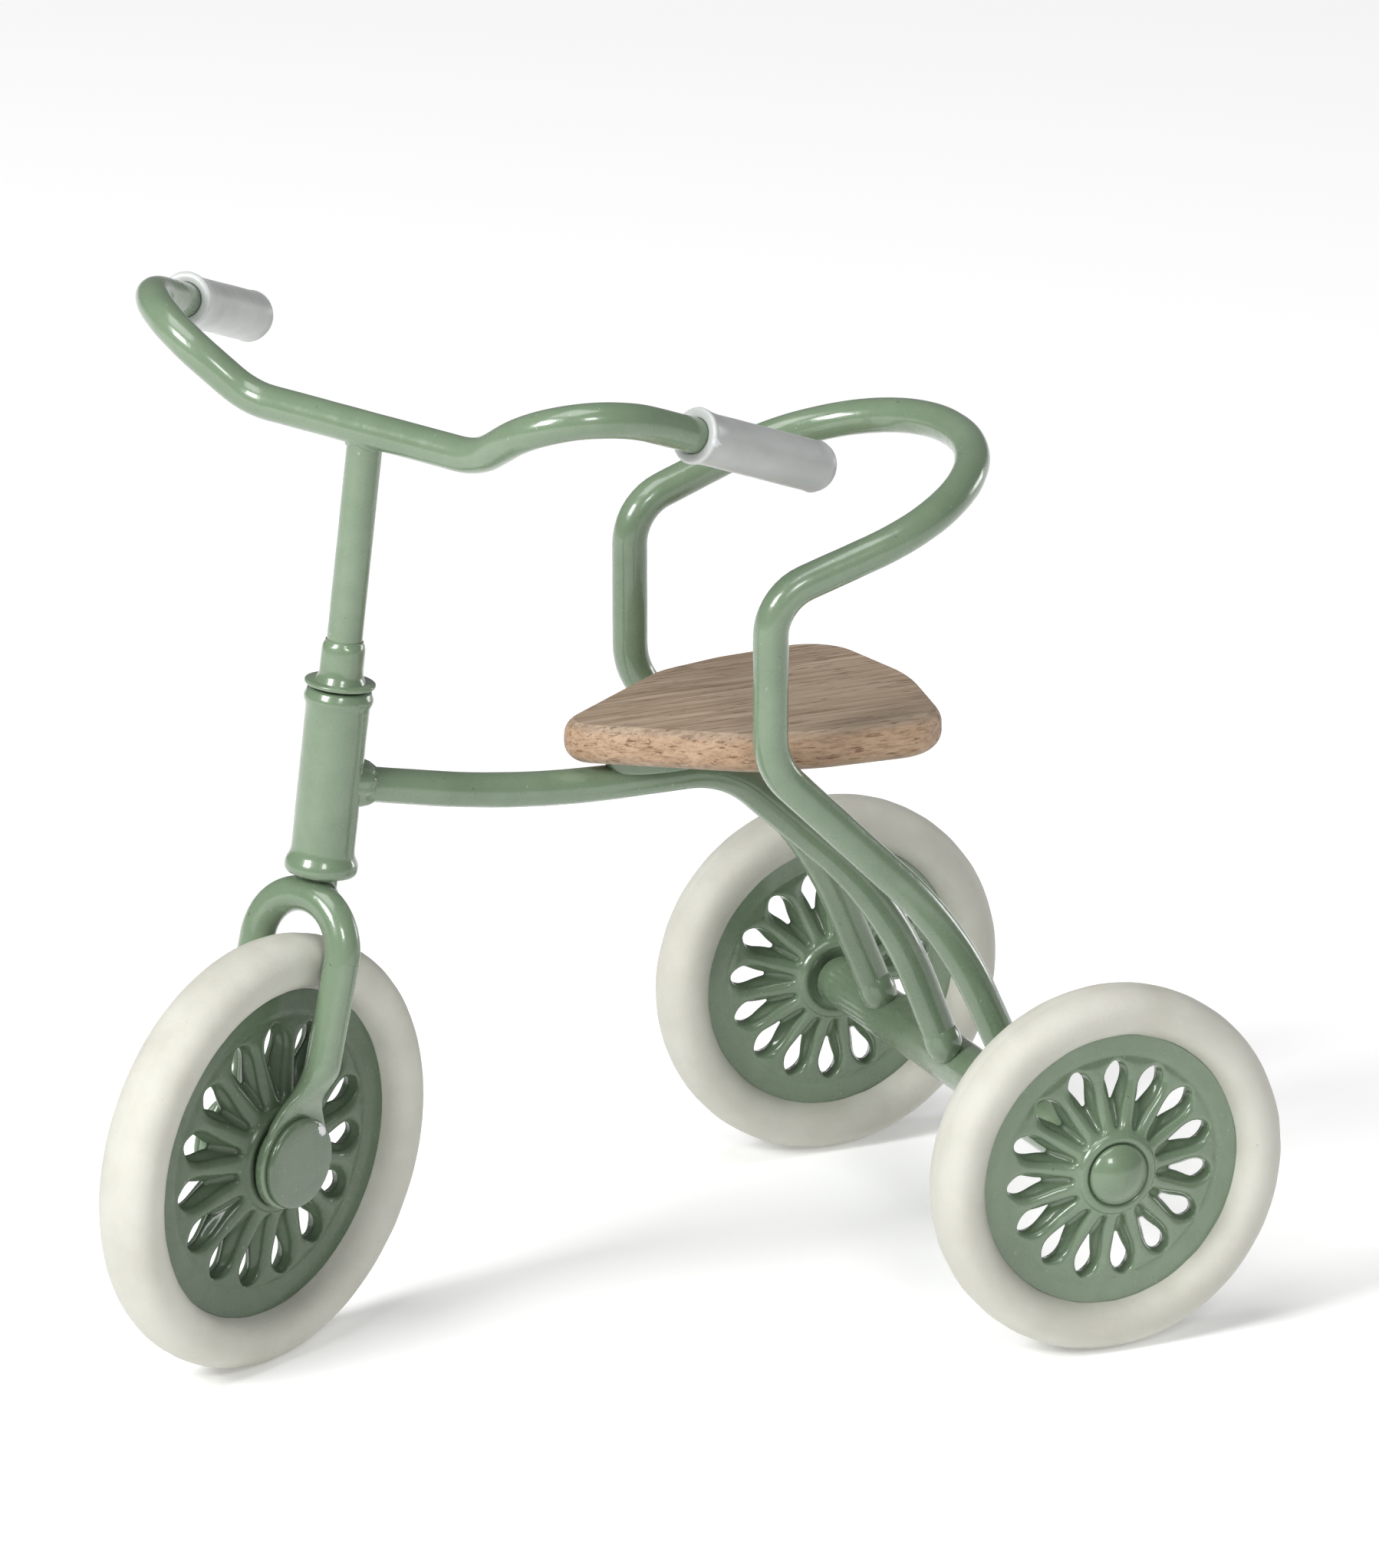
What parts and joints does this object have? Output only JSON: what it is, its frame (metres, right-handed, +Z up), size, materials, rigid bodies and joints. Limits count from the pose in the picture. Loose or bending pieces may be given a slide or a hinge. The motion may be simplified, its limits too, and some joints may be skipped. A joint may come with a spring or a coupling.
{
  "type": "miniature tricycle",
  "caption": "Doll-size tricycle with a bent-rod frame, turning fork and handlebar, wooden seat inside a hoop backrest, and pressed slotted disc wheels with thick rubber tyres.",
  "frame": {"origin": "floor level, straight below the middle of the rear axle", "axes": "+Z up, -Y towards the front wheel, +X towards the rider's left"},
  "size_m": [0.0774, 0.1091, 0.0976],
  "materials": {
    "paint": "satin sage green enamel",
    "steel": "plain turned steel",
    "tyre": "matte off-white rubber",
    "seat": "bare beech, lightly brushed",
    "grip": "soft milky grey plastic"
  },
  "bodies": {
    "frame": {"head_tube": "paint", "head_bush_lower": "steel", "head_bush_upper": "steel", "main_tube": "paint", "head_collar": "paint", "backrest_loop": "paint", "rear_axle_housing": "paint", "rear_axle": "steel", "rear_cap_left": "paint", "rear_cap_right": "paint", "seat_plate": "paint", "seat_board": "seat"},
    "steering": {"steering_stem": "paint", "fork": "paint", "stem_washer": "paint", "stem_ferrule": "paint", "handlebar": "paint", "grip_left": "grip", "grip_right": "grip", "front_axle": "paint", "front_axle_button": "paint"},
    "front_wheel": {"front_disc_left": "paint", "front_disc_right": "paint", "front_sleeve": "steel", "front_tyre": "tyre"},
    "rear_wheel_left": {"rear_disc_left_outer": "paint", "rear_disc_left_inner": "paint", "rear_sleeve_left": "steel", "rear_tyre_left": "tyre"},
    "rear_wheel_right": {"rear_disc_right_outer": "paint", "rear_disc_right_inner": "paint", "rear_sleeve_right": "steel", "rear_tyre_right": "tyre"}
  },
  "joints": [
    {"name": "steering_turn", "type": "hinge", "parent": "frame", "child": "steering", "pos_m": [0, -0.0691, 0.0175], "axis": [0, 0.1167, 0.9932], "range_deg": [-75, 23]},
    {"name": "front_wheel_spin", "type": "hinge", "parent": "steering", "child": "front_wheel", "pos_m": [0.00183, -0.07254, 0.0206], "axis": [0.8996, 0.4338, -0.051], "continuous": true},
    {"name": "rear_left_spin", "type": "hinge", "parent": "frame", "child": "rear_wheel_left", "pos_m": [0.0303, 0, 0.0175], "axis": [1, 0, 0], "continuous": true},
    {"name": "rear_right_spin", "type": "hinge", "parent": "frame", "child": "rear_wheel_right", "pos_m": [-0.0303, 0, 0.0175], "axis": [1, 0, 0], "continuous": true}
  ]
}
